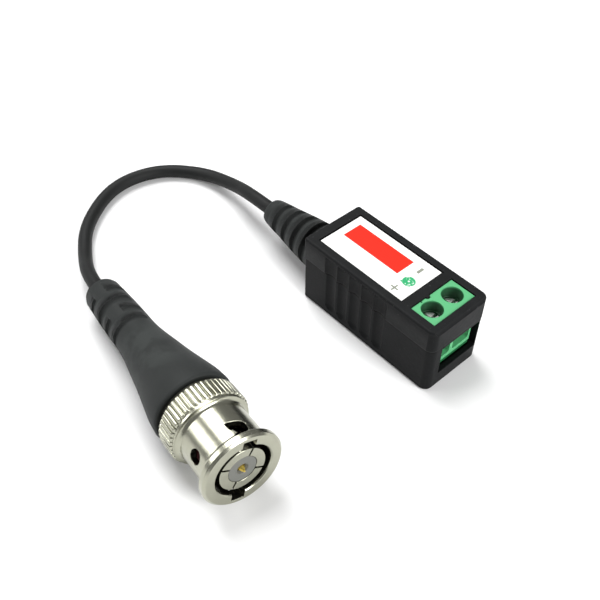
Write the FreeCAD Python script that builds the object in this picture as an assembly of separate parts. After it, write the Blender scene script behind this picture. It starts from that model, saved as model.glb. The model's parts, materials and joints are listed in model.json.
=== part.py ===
import FreeCAD, Part
import math
import os
from FreeCAD import Placement, Rotation, Vector

# Video balun: a small two-shell housing with a two-pole screw terminal block, joined by a
# short coaxial cable to a bayonet plug whose coupling sleeve turns and pulls against a spring.
# Millimetres, +Z up. The origin is the centre of the housing's underside, +X towards the terminals.
# The plug is drawn along its own +X axis, with its origin at the centre of the contact's front face.

# Clearances
face_gap = 0.05          # between faces that only sit against each other
running_gap = 0.08       # radial, round anything that turns or slides
moulded_gap = 0.05       # between a moulded boot and what it is moulded on
overreach = 1.0          # how far a cutter passes beyond what it cuts

# Housing walls and shape
wall = 1.35
end_wall = 1.0
roof = 1.35
floor_thickness = 1.4
seam_height = 10.4
front_corner_radius = 1.5
rear_corner_radius = 0.6
cover_overhang = 0.15    # of the cover over the base, on both long sides
cavity_corner_radius = 0.6
top_edge_radius = 0.45
front_chamfer_run = 0.55
front_chamfer_drop = 0.75
bottom_edge_chamfer = 0.35
lap_width = 0.6
lap_height = 0.8
block_side_gap = 0.35
boot_flange_room = 1.9   # from the rear wall to the board

# Terminal block
terminal_pitch = 5.08
block_side_land = 0.07
block_height = 10.45
block_front_offset = 3.5     # from the screw axis to the front face
block_rear_offset = 4.0      # from the screw axis to the rear face
neck_front_offset = 2.8
neck_rear_offset = 2.45
window_gap = 0.12
block_sunk = 0.25            # top of the block below the cover
front_wall_depth = 1.4
rear_wall_depth = 1.2
chamber_width = 3.8
well_radius = 1.96
well_depth = 2.45
web_thickness = 0.6
entry_width = 4.3
entry_height = 3.7
entry_rise = 0.8
entry_corner_radius = 0.5
notch_radius = 0.55          # in the neck's rear face, round a nib of the cover
notch_depth = 0.45
notch_y = -1.05
slit_width = 0.22
slit_depth = 0.3
slit_y = -2.72

# Clamp screw, rising cage and pin
head_radius = 1.7
head_height = 1.9
head_chamfer = 0.15
shank_radius = 1.25
slot_width = 0.5
slot_depth = 0.9
cage_height = 3.4
cage_length = 3.2
cage_width = 3.6
cage_side = 0.5
cage_floor = 0.6
cage_roof = 0.8
cage_travel = 1.3
cage_top_gap = 0.1
bar_width = 2.2
bar_thickness = 0.45
bar_gap = 0.1
leg_thickness = 0.5
leg_width = 1.0
leg_below_board = 1.2
leg_hole_radius = 0.75

# Circuit board and what it carries
board_length = 27.2
board_front_gap = 0.35
board_width_gap = 0.2
board_thickness = 1.2
board_standoff = 1.9
ledge_width = 1.2
post_radius = 1.1
post_inset = 2.0
hole_play = 0.15         # round a wire in its hole
core_outer_radius = 3.9
core_inner_radius = 1.9
core_height = 3.4
core_edge_radius = 0.3
core_x = -1.6
wire_thickness = 0.35
winding_turns = 7
winding_span_deg = 130.0
core_lift = 0.45

# End opening, label recess and printed label
opening_width = 10.0
opening_shift = 0.9      # towards the minus pole
opening_sill = 3.4
opening_lip = 0.65
opening_relief = 0.8     # how far the opening runs back along the cavity's side
label_length = 20.05
label_width = 10.2
label_thickness = 0.15
label_gap = 0.25
label_front_gap = 0.35
label_rear_inset = 2.45
recess_depth = 0.3
dot_radius = 1.2
dot_thickness = 0.06
dot_x = 4.33
dot_y = -0.84

# Grip flutes on both long sides
flute_count = 5
flute_pitch = 3.05
flute_width = 2.75
flute_depth = 0.4
flute_first_x = -8.6
flute_bottom = 1.3
flute_top = 14.4

# Cable and its boot on the housing
cable_radius = 1.4
boot_axis_height = 6.8
boot_flange_radius = 4.3
boot_flange_thickness = 1.2
boot_neck_radius = 3.4
boot_length = 17.4
boot_outline = [
    (0.15, 4.9),
    (2.7, 4.75),
    (5.8, 4.37),
    (8.9, 3.92),
    (12.0, 3.42),
    (14.4, 3.1),
    (16.6, 2.75),
]
boot_lip = 0.15
boot_tip_round = 0.8
boot_first_groove = 0.4
boot_groove = 1.6
boot_ring = 1.5
boot_groove_count = 5
boot_groove_depth = 1.2
boot_bridge_deg = 40.0
jacket_end = 2.6         # jacket past the rear wall's inner face
dielectric_radius = 0.75
conductor_radius = 0.25
pigtail_radius = 0.3
strip_length = 1.2
signal_drop = 3.4        # from the board's rear edge
shield_drop = 2.4

# Route of the free cable, from boot to boot, between its straight first and last runs
exit_run = 5.9
plug_run = 5.0
route_middle = [
    (-48.0, 1.8, 3.6),
    (-58.3, 0.7, 1.5),
    (-66.1, -6.7, 1.5),
    (-67.4, -17.5, 1.5),
    (-60.2, -28.5, 1.5),
    (-51.6, -34.0, 1.7),
]
bend_share = 0.45

# Plug: where it lies and how its nose is raised
plug_x = 10.93
plug_y = -43.44
plug_yaw_deg = -6.5
plug_rise_deg = 4.5
floor_gap = 0.02

# Plug body and contact
ferrule_radius = 4.075
ferrule_bore_radius = 2.55
ferrule_length = 6.3
ferrule_slot_width = 0.32
ferrule_slot_length = 5.0
ferrule_slot_deg = -33.0
ferrule_wall_room = 0.5  # how far the slots' cutter passes the ferrule's wall
collar_thickness = 1.1
neck_step = 0.075
ring_groove_depth = 0.4
neck_tail = 2.3
barrel_radius = 5.2
barrel_length = 4.6
mould_groove_depth = 0.6
mould_groove_width = 1.0
spigot_radius = 2.3
spigot_length = 5.3
spigot_bore_radius = 1.05
insulator_length = 8.6
insulator_inset = 0.07
insulator_gap = 0.06
insulator_cone_width = 0.3
insulator_cone_depth = 0.5
pin_radius = 0.675
pin_tip_radius = 0.12
pin_cone = 1.15
pin_overhang = 0.55
pin_collar_radius = 1.0
pin_collar_length = 0.8
pin_tail = 1.1
pin_room = 0.6           # round the pin's collar and behind its tail

# Gasket, spring washer, thrust washer, retaining ring and crimp sleeve
gasket_thickness = 0.9
spring_space = 0.7
spring_thickness = 0.2
spring_waves = 3
spring_travel = 0.45
spring_slack = 0.02
thrust_thickness = 0.3
thrust_gap = 0.03
ring_thickness = 0.45
ring_catch = 0.6
ring_gap_deg = 40.0
crimp_thickness = 0.55
crimp_length = 5.4

# Coupling sleeve
sleeve_overhang = 0.37
sleeve_bore_radius = 4.93
sleeve_wall = 1.07
bore_chamfer = 0.2
flange_step = 1.1
flange_length = 1.3
flange_chamfer = 0.4
flange_fillet = 1.1
lip_thickness = 1.17
shoulder_rise = 0.85
shoulder_lead = 0.2      # its start ahead of the inner lip
shoulder_length = 0.8
shoulder_land = 0.5
knurl_depth = 0.4
knurl_length = 3.7
knurl_front_bevel = 0.2
knurl_rear_bevel = 0.1
knurl_teeth = 48
knurl_groove_share = 0.62
tail_length = 0.8
tail_drop = 0.25
cavity_radius = 6.0
lug_slot_width = 2.4
lug_entry_deg = 163.0
lug_entry_depth = 3.5
lug_wall_room = 0.6      # how far the notch's cutter starts inside the bore
cove_steps = 4

# Plug boot: distance from its front face and radius along the smooth part
plug_boot_gap = 0.35
plug_boot_length = 35.95
plug_boot_outline = [
    (0.55, 7.25),
    (2.7, 7.05),
    (4.5, 6.72),
    (6.5, 6.3),
    (10.0, 5.58),
    (14.0, 4.9),
    (17.5, 4.3),
    (20.5, 4.0),
    (24.0, 3.92),
    (28.0, 3.8),
    (34.4, 3.45),
]
plug_boot_lip = 0.4
plug_boot_tip_round = 1.0
slot_first = 21.9
slot_pitch = 3.3
slot_count = 4
slot_gap = 1.05
slot_core_radius = 2.3
slot_bridge_deg = 36.0
slot_bridge_turn = 24.0

# Derived sizes: housing
block_width = 2 * (terminal_pitch + block_side_land)
housing_width = block_width + 2 * (block_side_gap + wall)
housing_length = wall + boot_flange_room + board_length + board_front_gap + end_wall
housing_height = floor_thickness + board_standoff + board_thickness + block_height + block_sunk
half_length = housing_length / 2
half_width = housing_width / 2
cavity_rear = -half_length + wall
cavity_front = half_length - end_wall
cavity_half_width = half_width - wall
cavity_top = housing_height - roof
opening_near = opening_shift - opening_width / 2
opening_far = opening_shift + opening_width / 2
opening_rear = cavity_front - opening_relief
board_bottom = floor_thickness + board_standoff
board_top = board_bottom + board_thickness
board_rear = cavity_rear + boot_flange_room
board_front = board_rear + board_length
block_top = board_top + block_height
block_front = cavity_front - 2 * face_gap
screw_x = block_front - block_front_offset
poles = {"plus": -terminal_pitch / 2, "minus": terminal_pitch / 2}
head_top = block_top - well_depth
web_top = head_top - head_height
neck_rear = screw_x - neck_rear_offset
chamber_top = web_top - web_thickness
cage_top = chamber_top - cage_travel - cage_top_gap
cage_bottom = cage_top - cage_height
bar_top = cage_top - cage_roof - bar_gap
chamber_rear = screw_x - block_rear_offset + rear_wall_depth
chamber_front = block_front - front_wall_depth
boot_tip_x = -half_length - boot_length
jacket_front = cavity_rear + jacket_end
shield_y = (cable_radius + dielectric_radius) / 2

# Derived sizes: plug, each a position along its axis
collar_front = -ferrule_length
collar_rear = collar_front - collar_thickness
thrust_front = collar_rear - spring_space
thrust_rear = thrust_front - thrust_thickness
lip_front = thrust_rear - thrust_gap
lip_rear = lip_front - lip_thickness
ring_front = lip_rear - face_gap
ring_rear = ring_front - ring_thickness
barrel_front = ring_rear - neck_tail
barrel_rear = barrel_front - barrel_length
spigot_rear = barrel_rear - spigot_length
neck_radius = ferrule_radius + neck_step
insulator_rear = -insulator_inset - insulator_length
pin_rear = insulator_rear - pin_collar_length - pin_tail
sleeve_radius = sleeve_bore_radius + sleeve_wall
shoulder_radius = sleeve_radius + shoulder_rise
knurl_radius = shoulder_radius + knurl_depth
shoulder_front = lip_front + shoulder_lead
knurl_front = shoulder_front - shoulder_length - shoulder_land
knurl_rear = knurl_front - knurl_length
sleeve_rear = knurl_rear - tail_length
plug_boot_front = sleeve_rear - plug_boot_gap
plug_boot_rear = plug_boot_front - plug_boot_length
mould_front = (barrel_rear + plug_boot_front + mould_groove_width) / 2
mould_rear = mould_front - mould_groove_width

X_AXIS = Vector(1, 0, 0)
Y_AXIS = Vector(0, 1, 0)
Z_AXIS = Vector(0, 0, 1)
ORIGIN = Vector(0, 0, 0)
HALF_TURN = 180
FULL_TURN = 360


def plug_placement():
    """Put the plug on the floor: the widest part of its boot touches it."""
    rise = math.radians(plug_rise_deg)
    low = max(
        (-plug_boot_front + distance) * math.sin(rise) + radius * math.cos(rise)
        for distance, radius in plug_boot_outline
    )
    turn = Rotation(plug_yaw_deg, -plug_rise_deg, 0)
    return Placement(Vector(plug_x, plug_y, low + floor_gap), turn)


def box(x0, x1, y0, y1, z0, z1):
    return Part.makeBox(x1 - x0, y1 - y0, z1 - z0, Vector(x0, y0, z0))


def edges_along(shape, axis):
    """Straight edges of a shape that run along an axis."""
    return [e for e in shape.Edges if abs(e.tangentAt(e.FirstParameter).dot(axis)) > 0.99]


def rounded_box(x0, x1, y0, y1, z0, z1, rear_radius, front_radius):
    """A box with rounded upright edges, of one radius at the rear and one at the front."""
    block = box(x0, x1, y0, y1, z0, z1)
    rear_edges = [e for e in edges_along(block, Z_AXIS) if e.Vertexes[0].X < (x0 + x1) / 2]
    block = block.makeFillet(rear_radius, rear_edges)
    front_edges = [e for e in edges_along(block, Z_AXIS) if e.Vertexes[0].X > x1 - face_gap]
    return block.makeFillet(front_radius, front_edges)


def level_edges(shape, height):
    """Edges of a shape that lie wholly at one height."""
    return [e for e in shape.Edges if max(abs(v.Z - height) for v in e.Vertexes) < 1e-6]


def tube_x(x0, x1, outer, inner=0.0):
    """A round bar or tube along X."""
    bar = Part.makeCylinder(outer, abs(x1 - x0), Vector(min(x0, x1), 0, 0), X_AXIS)
    if inner <= 0:
        return bar
    hole = Part.makeCylinder(inner, abs(x1 - x0), Vector(min(x0, x1), 0, 0), X_AXIS)
    return bar.cut(hole)


def turned(outline):
    """Revolve a closed outline of (x, radius) points about the X axis."""
    points = [Vector(x, 0, r) for x, r in outline]
    face = Part.Face(Part.makePolygon(points + points[:1]))
    return face.revolve(ORIGIN, X_AXIS, FULL_TURN)


def sector_ring(x0, x1, inner, outer, middle_deg, span_deg):
    """Part of a ring about the X axis. Angles run from up towards -Y."""
    ring = Part.makeCylinder(outer, x1 - x0, Vector(x0, 0, 0), X_AXIS, span_deg)
    ring = ring.cut(tube_x(x0 - overreach, x1 + overreach, inner))
    ring.rotate(ORIGIN, X_AXIS, middle_deg - span_deg / 2)
    return ring


def curved_outline(front, outline):
    """Smooth curve through (distance behind the front, radius) points, for a boot's outside."""
    curve = Part.BSplineCurve()
    curve.interpolate([Vector(front - distance, 0, radius) for distance, radius in outline])
    return curve.toShape()


def turned_boot(front, rear, outline, lip, tip_round):
    """Solid boot: a curved outside with a rounded front lip and a rounded tip."""
    first = Vector(front - outline[0][0], 0, outline[0][1])
    last = Vector(front - outline[-1][0], 0, outline[-1][1])
    corners = [
        last,
        Vector(rear, 0, last.z - tip_round),
        Vector(rear, 0, 0),
        Vector(front, 0, 0),
        Vector(front, 0, first.z - lip),
        first,
    ]
    edges = [Part.LineSegment(a, b).toShape() for a, b in zip(corners, corners[1:])]
    edges.append(curved_outline(front, outline))
    wire = Part.Wire(Part.__sortEdges__(edges))
    return Part.Face(wire).revolve(ORIGIN, X_AXIS, FULL_TURN)


def housing_shell(side):
    """Outside of the housing out to a side, with the grip flutes, before the split at the seam."""
    shell = rounded_box(-half_length, half_length, -side, side, 0, housing_height,
                        rear_corner_radius, front_corner_radius)
    shell = shell.cut(front_wedge())
    flat_front = half_length - front_chamfer_run
    rim = [e for e in level_edges(shell, housing_height)
           if min(v.X for v in e.Vertexes) < flat_front - face_gap]
    shell = shell.makeFillet(top_edge_radius, rim)
    shell = shell.makeChamfer(bottom_edge_chamfer, level_edges(shell, 0))
    return shell.cut(flutes())


def front_wedge():
    """What the crisp chamfer takes off the front top edge."""
    half = half_width + overreach
    rise = front_chamfer_drop / front_chamfer_run * overreach
    points = [
        Vector(half_length - front_chamfer_run - overreach, -half, housing_height + rise),
        Vector(half_length + overreach, -half, housing_height + rise),
        Vector(half_length + overreach, -half, housing_height - front_chamfer_drop - rise),
    ]
    face = Part.Face(Part.makePolygon(points + points[:1]))
    return face.extrude(Y_AXIS * (2 * half))


def flutes():
    """Scoops that both long sides are gripped by, square at the top and run out at the bottom."""
    radius = (flute_width ** 2 / 4 + flute_depth ** 2) / (2 * flute_depth)
    end = flute_width / 2
    cutters = []
    for side in (-1, 1):
        for index in range(flute_count):
            x = flute_first_x + index * flute_pitch
            y = side * (half_width - flute_depth + radius)
            low = Vector(x, y, flute_bottom + end)
            cutters.append(Part.makeCylinder(radius, flute_top - low.z, low, Z_AXIS))
            cutters.append(Part.makeSphere(radius, low))
    return Part.makeCompound(cutters)


def cavity(grow=0.0, z0=floor_thickness, z1=cavity_top):
    return rounded_box(cavity_rear - grow, cavity_front + grow,
                       -cavity_half_width - grow, cavity_half_width + grow, z0, z1,
                       cavity_corner_radius, cavity_corner_radius)


def boot_slot(gap, top):
    """Round-bottomed slot in the rear wall that holds the boot's neck."""
    radius = boot_neck_radius + gap
    rear = -half_length - overreach
    front = cavity_rear + overreach
    round_part = tube_x(rear, front, radius)
    round_part.translate(Vector(0, 0, boot_axis_height))
    return round_part.fuse(box(rear, front, -radius, radius, boot_axis_height, top))


def layer(z0, z1):
    """Everything between two heights, wider than the housing."""
    return box(-half_length - overreach, half_length + overreach,
               -half_width - overreach, half_width + overreach, z0, z1)


def housing_base(shell):
    above = seam_height + overreach
    base = shell.common(layer(-overreach, seam_height))
    base = base.cut(cavity())
    base = base.cut(cavity(lap_width, seam_height - lap_height, above))
    base = base.cut(box(opening_rear, half_length + overreach, opening_near, opening_far,
                        opening_sill, above))
    base = base.cut(boot_slot(face_gap, above))
    for side in (-1, 1):
        inner = side * (cavity_half_width - ledge_width)
        outer = side * cavity_half_width
        base = base.fuse(box(board_rear, screw_x - block_rear_offset, min(inner, outer),
                             max(inner, outer), floor_thickness, board_bottom))
    return base.removeSplitter()


def housing_cover(shell):
    cover = shell.common(layer(seam_height, housing_height + overreach))
    tongue = cavity(lap_width - face_gap, seam_height - lap_height + face_gap, seam_height)
    tongue = tongue.cut(cavity(0, seam_height - lap_height, seam_height))
    tongue = tongue.cut(box(opening_rear - face_gap, half_length, opening_near,
                            opening_far + lap_width, 0, seam_height))
    lip = box(cavity_front, half_length, opening_near + face_gap, opening_far - face_gap,
              seam_height - opening_lip, seam_height)
    saddle = box(-half_length, cavity_rear, -boot_neck_radius, boot_neck_radius,
                 boot_axis_height, seam_height)
    collar = tube_x(-half_length - overreach, cavity_rear + overreach, boot_neck_radius + face_gap)
    collar.translate(Vector(0, 0, boot_axis_height))
    cover = cover.cut(cavity(0, floor_thickness, cavity_top))
    cover = cover.fuse([tongue, lip, saddle]).cut(collar)
    cover = cover.cut([window(), label_recess()])
    nib = rear_notch(window_gap, cavity_top, housing_height)
    posts = [board_post(side) for side in (-1, 1)]
    return cover.fuse(posts + [nib]).removeSplitter()


def board_post(side):
    """Post under the roof that holds the board down."""
    y = side * (cavity_half_width - post_inset)
    foot = board_top + face_gap
    return Part.makeCylinder(post_radius, cavity_top - foot, Vector(board_rear + post_inset, y, foot))


def window():
    """Opening in the roof that the block's neck stands in."""
    side = block_width / 2 + window_gap
    return box(neck_rear - window_gap, screw_x + neck_front_offset + window_gap, -side, side,
               cavity_top - overreach, housing_height + overreach)


def rear_notch(gap, z0, z1):
    """Round notch in the rear of the block's neck, or with a gap the nib that stands in it."""
    centre = Vector(neck_rear + notch_depth - notch_radius, notch_y, z0)
    return Part.makeCylinder(notch_radius - gap, z1 - z0, centre)


def label_recess():
    x0 = -half_length + label_rear_inset
    side = label_width / 2 + label_gap
    return box(x0 - label_gap, x0 + label_length + label_front_gap, -side, side,
               housing_height - recess_depth, housing_height + overreach)


def label():
    x0 = -half_length + label_rear_inset
    z0 = housing_height - recess_depth
    return box(x0, x0 + label_length, -label_width / 2, label_width / 2, z0, z0 + label_thickness)


def inspection_dot():
    z0 = housing_height - recess_depth + label_thickness
    return Part.makeCylinder(dot_radius, dot_thickness, Vector(dot_x, dot_y, z0))


def circuit_board():
    half = cavity_half_width - board_width_gap
    board = box(board_rear, board_front, -half, half, board_bottom, board_top)
    holes = [board_hole(chamber_rear + leg_thickness / 2, y, leg_hole_radius) for y in poles.values()]
    holes.append(board_hole(board_rear + signal_drop, 0, conductor_radius + hole_play))
    holes.append(board_hole(board_rear + shield_drop, shield_y, pigtail_radius + hole_play))
    return board.cut(holes)


def board_hole(x, y, radius):
    return Part.makeCylinder(radius, board_thickness + 2 * overreach,
                             Vector(x, y, board_bottom - overreach))


def transformer_core():
    base = Vector(core_x, 0, board_top + core_lift)
    ring = Part.makeCylinder(core_outer_radius, core_height, base)
    ring = ring.cut(Part.makeCylinder(core_inner_radius, core_height, base))
    return ring.makeFillet(core_edge_radius, ring.Edges[:1])


def winding(middle_deg):
    """Turns of wire round one side of the core, each a closed loop through its hole."""
    low = board_top + core_lift
    near = core_inner_radius - face_gap
    far = core_outer_radius + face_gap
    outer = box(near - wire_thickness, far + wire_thickness, -wire_thickness / 2, wire_thickness / 2,
                low - face_gap - wire_thickness, low + core_height + face_gap + wire_thickness)
    inner = box(near, far, -wire_thickness, wire_thickness, low - face_gap, low + core_height + face_gap)
    loop = outer.cut(inner)
    loops = []
    for index in range(winding_turns):
        angle = middle_deg + winding_span_deg * (index / (winding_turns - 1) - 0.5)
        turn = loop.copy()
        turn.rotate(ORIGIN, Z_AXIS, angle)
        turn.translate(Vector(core_x, 0, 0))
        loops.append(turn)
    return Part.makeCompound(loops)


def terminal_block():
    """One moulding: a body with two chambers and entries, and a neck with the two wells."""
    side = block_width / 2
    shoulder = cavity_top - 2 * face_gap
    above = block_top + overreach
    block = box(screw_x - block_rear_offset, block_front, -side, side, board_top, shoulder)
    neck = box(neck_rear, screw_x + neck_front_offset, -side, side, shoulder, block_top)
    slit = box(neck_rear - overreach, neck_rear + slit_depth, slit_y - slit_width / 2,
               slit_y + slit_width / 2, shoulder, above)
    cutters = [slit, rear_notch(0, shoulder, above)]
    for y in poles.values():
        cutters.append(box(chamber_rear, chamber_front, y - chamber_width / 2,
                           y + chamber_width / 2, board_top - overreach, chamber_top))
        cutters.append(wire_entry(y))
        cutters.append(upright_bar(y, well_radius, head_top + face_gap, above))
        cutters.append(upright_bar(y, head_radius + running_gap, web_top, above))
        cutters.append(upright_bar(y, shank_radius + running_gap, chamber_top - overreach, above))
    return block.fuse(neck).cut(cutters).removeSplitter()


def wire_entry(y):
    """Opening in the block's front with rounded corners, through to the chamber."""
    low = board_top + entry_rise
    entry = box(chamber_front - overreach, block_front + overreach, y - entry_width / 2,
                y + entry_width / 2, low, low + entry_height)
    return entry.makeFillet(entry_corner_radius, edges_along(entry, X_AXIS))


def upright_bar(y, radius, z0, z1):
    """Round bar on the screw axis of a pole."""
    return Part.makeCylinder(radius, z1 - z0, Vector(screw_x, y, z0))


def terminal_screw(y):
    """Clamp screw with a crossed slot. It turns in place under its retaining web."""
    head = upright_bar(y, head_radius, web_top, head_top)
    head = head.makeChamfer(head_chamfer, level_edges(head, head_top))
    shank = upright_bar(y, shank_radius, cage_top - cage_roof, web_top)
    reach = head_radius + overreach
    half = slot_width / 2
    z0 = head_top - slot_depth
    z1 = head_top + overreach
    along_x = box(screw_x - reach, screw_x + reach, y - half, y + half, z0, z1)
    along_y = box(screw_x - half, screw_x + half, y - reach, y + reach, z0, z1)
    return head.cut([along_x, along_y]).fuse(shank).removeSplitter()


def clamp_cage(y):
    """Frame that the screw lifts, pinching the wire against the pin's bar."""
    x0 = screw_x - cage_length / 2
    x1 = screw_x + cage_length / 2
    half = cage_width / 2
    frame = box(x0, x1, y - half, y + half, cage_bottom, cage_top)
    inside = box(x0 - overreach, x1 + overreach, y - half + cage_side, y + half - cage_side,
                 cage_bottom + cage_floor, cage_top - cage_roof)
    hole = upright_bar(y, shank_radius + running_gap, cage_top - cage_roof - overreach,
                       cage_top + overreach)
    return frame.cut([inside, hole])


def terminal_pin(y):
    """Bent strip: a bar through the cage and a leg down through the board."""
    bar = box(chamber_rear, chamber_front - face_gap, y - bar_width / 2, y + bar_width / 2,
              bar_top - bar_thickness, bar_top)
    web = box(chamber_rear, chamber_rear + leg_thickness, y - bar_width / 2, y + bar_width / 2,
              board_top + face_gap, bar_top)
    leg = box(chamber_rear, chamber_rear + leg_thickness, y - leg_width / 2, y + leg_width / 2,
              board_bottom - leg_below_board, board_top + face_gap)
    return bar.fuse([web, leg]).removeSplitter()


def housing_boot():
    """Ribbed strain relief. Its neck sits in the rear wall, and side webs bridge its grooves."""
    wall_face = -half_length - face_gap
    boot = turned_boot(wall_face, boot_tip_x, boot_outline, boot_lip, boot_tip_round)
    flange_rear = cavity_rear + face_gap
    boot = boot.fuse([
        tube_x(wall_face - overreach, flange_rear + overreach, boot_neck_radius),
        tube_x(flange_rear, flange_rear + boot_flange_thickness, boot_flange_radius),
    ])
    cutters = [tube_x(boot_tip_x - overreach, 0, cable_radius + moulded_gap)]
    for index in range(boot_groove_count):
        distance = boot_first_groove + index * (boot_groove + boot_ring)
        radius = radius_at(boot_outline, distance + boot_groove / 2)
        for middle in (0, HALF_TURN):
            cutters.append(sector_ring(wall_face - distance - boot_groove, wall_face - distance,
                                       radius - boot_groove_depth, 2 * radius,
                                       middle, HALF_TURN - boot_bridge_deg))
    boot = boot.cut(cutters)
    boot.translate(Vector(0, 0, boot_axis_height))
    return boot


def radius_at(outline, distance):
    """Radius of a boot's outline at a distance, on straight lines between its points."""
    for (d0, r0), (d1, r1) in zip(outline, outline[1:]):
        if d0 <= distance <= d1:
            return r0 + (r1 - r0) * (distance - d0) / (d1 - d0)
    return outline[-1][1]


def bent_wire(start, drop_x, end_z, radius):
    """Round wire that leaves along +X, turns down and ends at a height."""
    corner = Vector(drop_x, start.y, start.z)
    foot = Vector(drop_x, start.y, end_z)
    path = Part.Wire(rounded_path([start, corner, foot], [3 * radius]))
    section = Part.Wire(Part.makeCircle(radius, start, X_AXIS))
    return path.makePipeShell([section], True, True)


def cable_housing_end():
    """Stretch of the cable inside the housing boot, stripped at its end."""
    body = turned([
        (boot_tip_x, 0),
        (boot_tip_x, cable_radius),
        (jacket_front, cable_radius),
        (jacket_front, dielectric_radius),
        (jacket_front + strip_length, dielectric_radius),
        (jacket_front + strip_length, 0),
    ])
    body.translate(Vector(0, 0, boot_axis_height))
    return body


def signal_wire():
    """The cable's conductor, bent down into the board."""
    start = Vector(jacket_front + strip_length, 0, boot_axis_height)
    return bent_wire(start, board_rear + signal_drop, board_bottom - face_gap, conductor_radius)


def shield_wire():
    """The cable's screen, twisted together and bent down into the board."""
    start = Vector(jacket_front, shield_y, boot_axis_height)
    return bent_wire(start, board_rear + shield_drop, board_bottom - face_gap, pigtail_radius)


def rounded_path(points, radii):
    """Straight runs joined by tangent arcs, as a list of edges."""
    edges = []
    last = points[0]
    for before, corner, after, radius in zip(points, points[1:], points[2:], radii):
        into = (corner - before).normalize()
        out = (after - corner).normalize()
        half_turn = into.getAngle(out) / 2
        reach = radius * math.tan(half_turn)
        start = corner - into * reach
        end = corner + out * reach
        to_centre = (out - into).normalize()
        middle = corner + to_centre * (radius / math.cos(half_turn) - radius)
        edges.append(Part.LineSegment(last, start).toShape())
        edges.append(Part.Arc(start, middle, end).toShape())
        last = end
    edges.append(Part.LineSegment(last, points[-1]).toShape())
    return edges


def cable_route():
    """Centre line of the free cable, from the housing boot's tip to the plug boot's tip."""
    place = plug_placement()
    start = Vector(boot_tip_x, 0, boot_axis_height)
    first = Vector(boot_tip_x - exit_run, 0, boot_axis_height)
    last = place.multVec(Vector(plug_boot_rear - plug_run, 0, 0))
    end = place.multVec(Vector(plug_boot_rear, 0, 0))
    return [start, first] + [Vector(*point) for point in route_middle] + [last, end]


def cable():
    points = cable_route()
    radii = []
    for before, corner, after in zip(points, points[1:], points[2:]):
        half_turn = (corner - before).getAngle(after - corner) / 2
        shorter = min((corner - before).Length, (after - corner).Length)
        radii.append(bend_share * shorter / math.tan(half_turn))
    print("route", [[round(c, 2) for c in (p.x, p.y, p.z)] for p in points])
    print("cable bend radii", [round(radius, 1) for radius in radii])
    path = Part.Wire(rounded_path(points, radii))
    section = Part.Wire(Part.makeCircle(cable_radius, points[0], X_AXIS))
    tube = path.makePipeShell([section], True, True)
    expected = math.pi * cable_radius ** 2 * path.Length
    print("cable length", round(path.Length, 1), "volume ratio", round(tube.Volume / expected, 4))
    return tube


def plug_body():
    """Contact ferrule, gasket collar, neck, mould barrel and crimp spigot, turned as one."""
    groove = neck_radius - ring_groove_depth
    mould = barrel_radius - mould_groove_depth
    step = insulator_rear
    outer = [
        (0, ferrule_radius),
        (collar_front, ferrule_radius),
        (collar_front, sleeve_bore_radius - running_gap),
        (collar_rear, sleeve_bore_radius - running_gap),
        (collar_rear, neck_radius),
        (ring_front + face_gap, neck_radius),
        (ring_front + face_gap, groove),
        (ring_rear - face_gap, groove),
        (ring_rear - face_gap, neck_radius),
        (barrel_front, neck_radius),
        (barrel_front, barrel_radius),
        (mould_front, barrel_radius),
        (mould_front, mould),
        (mould_rear, mould),
        (mould_rear, barrel_radius),
        (barrel_rear, barrel_radius),
        (barrel_rear, spigot_radius),
        (spigot_rear, spigot_radius),
    ]
    inner = [
        (spigot_rear, spigot_bore_radius),
        (pin_rear - pin_room, spigot_bore_radius),
        (pin_rear - pin_room, pin_collar_radius + pin_room),
        (step, pin_collar_radius + pin_room),
        (step, ferrule_bore_radius),
        (0, ferrule_bore_radius),
    ]
    body = turned(outer + inner)
    slots = []
    for quarter in range(4):
        slot = box(-ferrule_slot_length, overreach, -ferrule_slot_width / 2,
                   ferrule_slot_width / 2, ferrule_bore_radius - ferrule_wall_room,
                   ferrule_radius + ferrule_wall_room)
        slot.rotate(ORIGIN, X_AXIS, ferrule_slot_deg + 90 * quarter)
        slots.append(slot)
    return body.cut(slots)


def plug_insulator():
    outer = ferrule_bore_radius - insulator_gap
    hole = pin_radius + insulator_gap
    front = -insulator_inset
    return turned([
        (insulator_rear + face_gap, hole),
        (insulator_rear + face_gap, outer),
        (front, outer),
        (front, hole + insulator_cone_width),
        (front - insulator_cone_depth, hole),
    ])


def centre_pin():
    shoulder = insulator_rear - face_gap
    cone_base = pin_overhang - pin_cone
    return turned([
        (pin_rear, 0),
        (pin_rear, pin_radius),
        (shoulder - pin_collar_length, pin_radius),
        (shoulder - pin_collar_length, pin_collar_radius),
        (shoulder, pin_collar_radius),
        (shoulder, pin_radius),
        (cone_base, pin_radius),
        (pin_overhang, pin_tip_radius),
        (pin_overhang, 0),
    ])


def front_gasket():
    rear = collar_front + face_gap
    return tube_x(rear, rear + gasket_thickness, sleeve_bore_radius - running_gap,
                  ferrule_radius + face_gap)


def spring_washer():
    """Wave washer: a flat ring bent into waves, drawn relaxed."""
    inner = neck_radius + running_gap
    outer = sleeve_bore_radius - 2 * running_gap
    swing = (spring_space - spring_thickness) / 2 - spring_slack
    middle = (collar_rear + thrust_front - spring_thickness) / 2
    rims = []
    for radius in (inner, outer):
        points = []
        for step in range(8 * spring_waves):
            angle = 2 * math.pi * step / (8 * spring_waves)
            points.append(Vector(middle + swing * math.sin(spring_waves * angle),
                                 radius * math.sin(angle), radius * math.cos(angle)))
        rim = Part.BSplineCurve()
        rim.interpolate(Points=points, PeriodicFlag=True)
        rims.append(rim.toShape())
    return Part.makeRuledSurface(rims[0], rims[1]).extrude(Vector(spring_thickness, 0, 0))


def thrust_washer():
    return tube_x(thrust_rear, thrust_front, sleeve_bore_radius - running_gap,
                  neck_radius + running_gap)


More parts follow.
